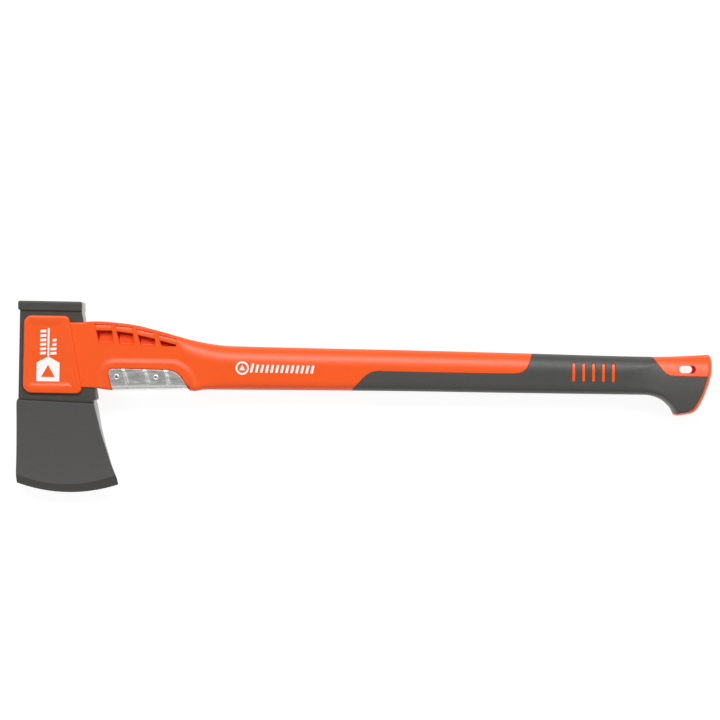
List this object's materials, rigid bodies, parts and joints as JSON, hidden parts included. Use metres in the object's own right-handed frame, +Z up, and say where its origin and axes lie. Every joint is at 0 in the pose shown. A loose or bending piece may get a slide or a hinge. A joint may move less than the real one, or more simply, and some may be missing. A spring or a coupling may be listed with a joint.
{
  "type": "felling axe",
  "caption": "Two-handed felling axe: forged steel head with a flat poll, hollow composite handle with a soft grip, bent steel strike guard and a hanging slot in the butt.",
  "frame": {"origin": "bottom centre of the whole axe's bounding box, with the axe lying on its side", "axes": "+X from the head to the butt, +Y towards the poll, +Z up through the axe's thickness"},
  "size_m": [0.7, 0.1922, 0.036],
  "materials": {
    "coated_steel": "satin",
    "orange_composite": "satin",
    "soft_grip_rubber": "matte",
    "bright_steel": "satin"
  },
  "bodies": {
    "root": {"axe_head": "coated_steel", "handle_shaft": "orange_composite", "soft_grip": "soft_grip_rubber", "butt_cap": "orange_composite", "strike_guard": "bright_steel", "guard_rivet_front": "bright_steel", "guard_rivet_rear": "bright_steel"}
  },
  "joints": []
}
